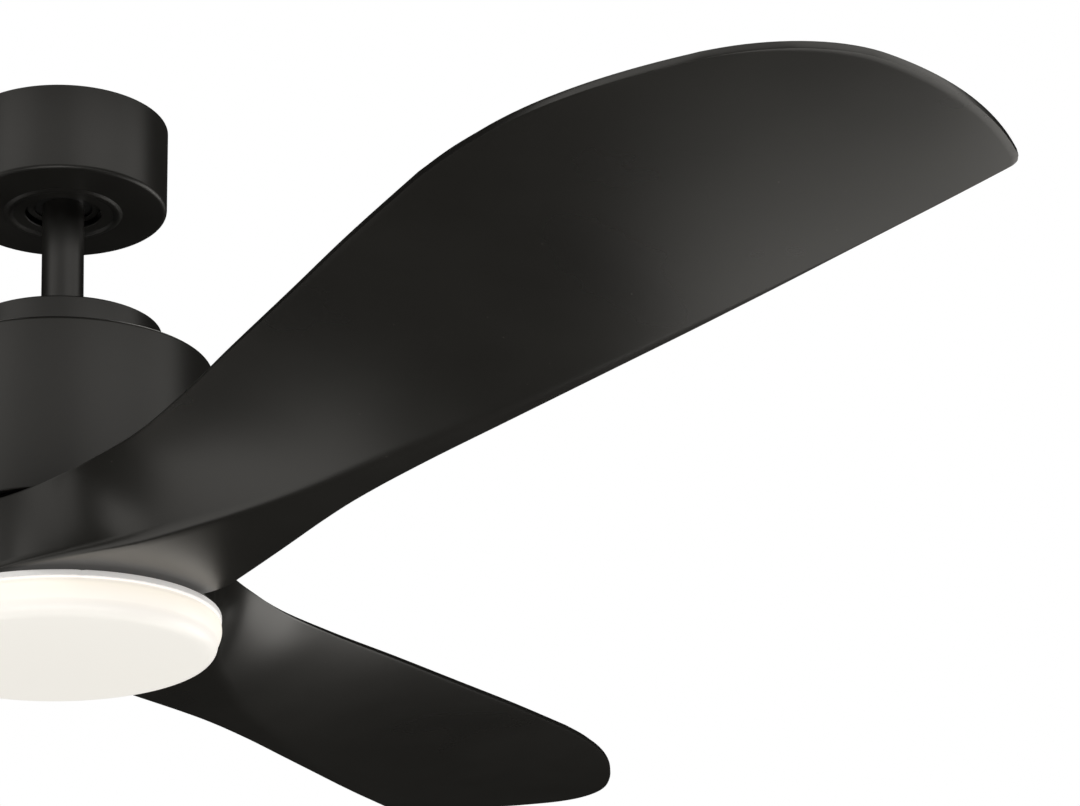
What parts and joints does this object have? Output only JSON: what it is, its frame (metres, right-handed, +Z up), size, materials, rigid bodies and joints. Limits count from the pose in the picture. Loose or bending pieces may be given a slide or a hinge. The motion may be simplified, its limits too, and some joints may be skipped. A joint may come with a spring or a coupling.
{
  "type": "ceiling fan with light",
  "caption": "Ceiling fan on a short downrod, with swept twisted blades, a cylindrical motor housing and a shallow round opal light under the hub.",
  "frame": {"origin": "centre of the hanger bracket's top face, on the ceiling, on the axis the blades turn about", "axes": "+Z up into the ceiling, +X along the line of the two outlet box screws"},
  "size_m": [1.2297, 1.3736, 0.3715],
  "materials": {
    "bracket_steel": "zinc plated",
    "black_paint": "matte black powder coat",
    "black_screw": "blackened",
    "case_plastic": "moulded",
    "ball_plastic": "moulded, ribbed",
    "steel": "plain",
    "cast_metal": "as cast",
    "circuit_board": "solder mask",
    "bearing_steel": "ground",
    "stator_steel": "laminated",
    "copper": "enamelled copper wire",
    "magnet": "sintered",
    "black_hub": "black, satin",
    "black_blade": "matte black, moulded",
    "pan_paint": "white",
    "ring_grey": "light grey",
    "led_board": "white solder mask",
    "led_chip": "phosphor",
    "opal_lens": "opal, softly glossy"
  },
  "bodies": {
    "ceiling_mount": {"ceiling_bracket": "bracket_steel", "hanger_yoke": "black_paint", "canopy": "black_paint", "canopy_screws": "black_screw", "receiver_module": "case_plastic"},
    "hanging_frame": {"hanger_ball": "ball_plastic", "ball_cross_pin": "steel", "ball_set_screw": "steel", "downrod": "black_paint", "downrod_coupling": "cast_metal", "coupling_pin": "steel", "cotter_pin": "steel", "coupling_set_screws": "steel", "coupling_bolts": "steel", "coupling_cover": "black_paint", "motor_housing": "black_paint", "motor_shaft": "steel", "controller_board": "circuit_board", "stator_core": "stator_steel", "stator_windings": "copper", "light_pan": "pan_paint", "lens_ring": "ring_grey", "led_driver": "case_plastic", "led_board": "led_board", "led_chips": "led_chip", "led_board_screws": "steel", "shaft_nut": "steel"},
    "rotor": {"upper_bearing": "bearing_steel", "lower_bearing": "bearing_steel", "rotor_cover": "cast_metal", "rotor_bell": "cast_metal", "rotor_magnets": "magnet", "blade_hub": "black_hub", "hub_screws": "steel", "blade_1": "black_blade", "blade_2": "black_blade", "blade_3": "black_blade", "blade_screws": "steel"},
    "lens_cover": {"lens": "opal_lens"}
  },
  "joints": [
    {"name": "hanger_swing", "type": "hinge", "parent": "ceiling_mount", "child": "hanging_frame", "pos_m": [0, 0, -0.038], "axis": [1, 0, 0], "range_deg": [-8, 8]},
    {"name": "rotor_spin", "type": "hinge", "parent": "hanging_frame", "child": "rotor", "pos_m": [0, 0, -0.3], "axis": [0, 0, -1], "continuous": true},
    {"name": "lens_twist", "type": "hinge", "parent": "hanging_frame", "child": "lens_cover", "pos_m": [0, 0, -0.35], "axis": [0, 0, -1], "range_deg": [0, 25]}
  ]
}
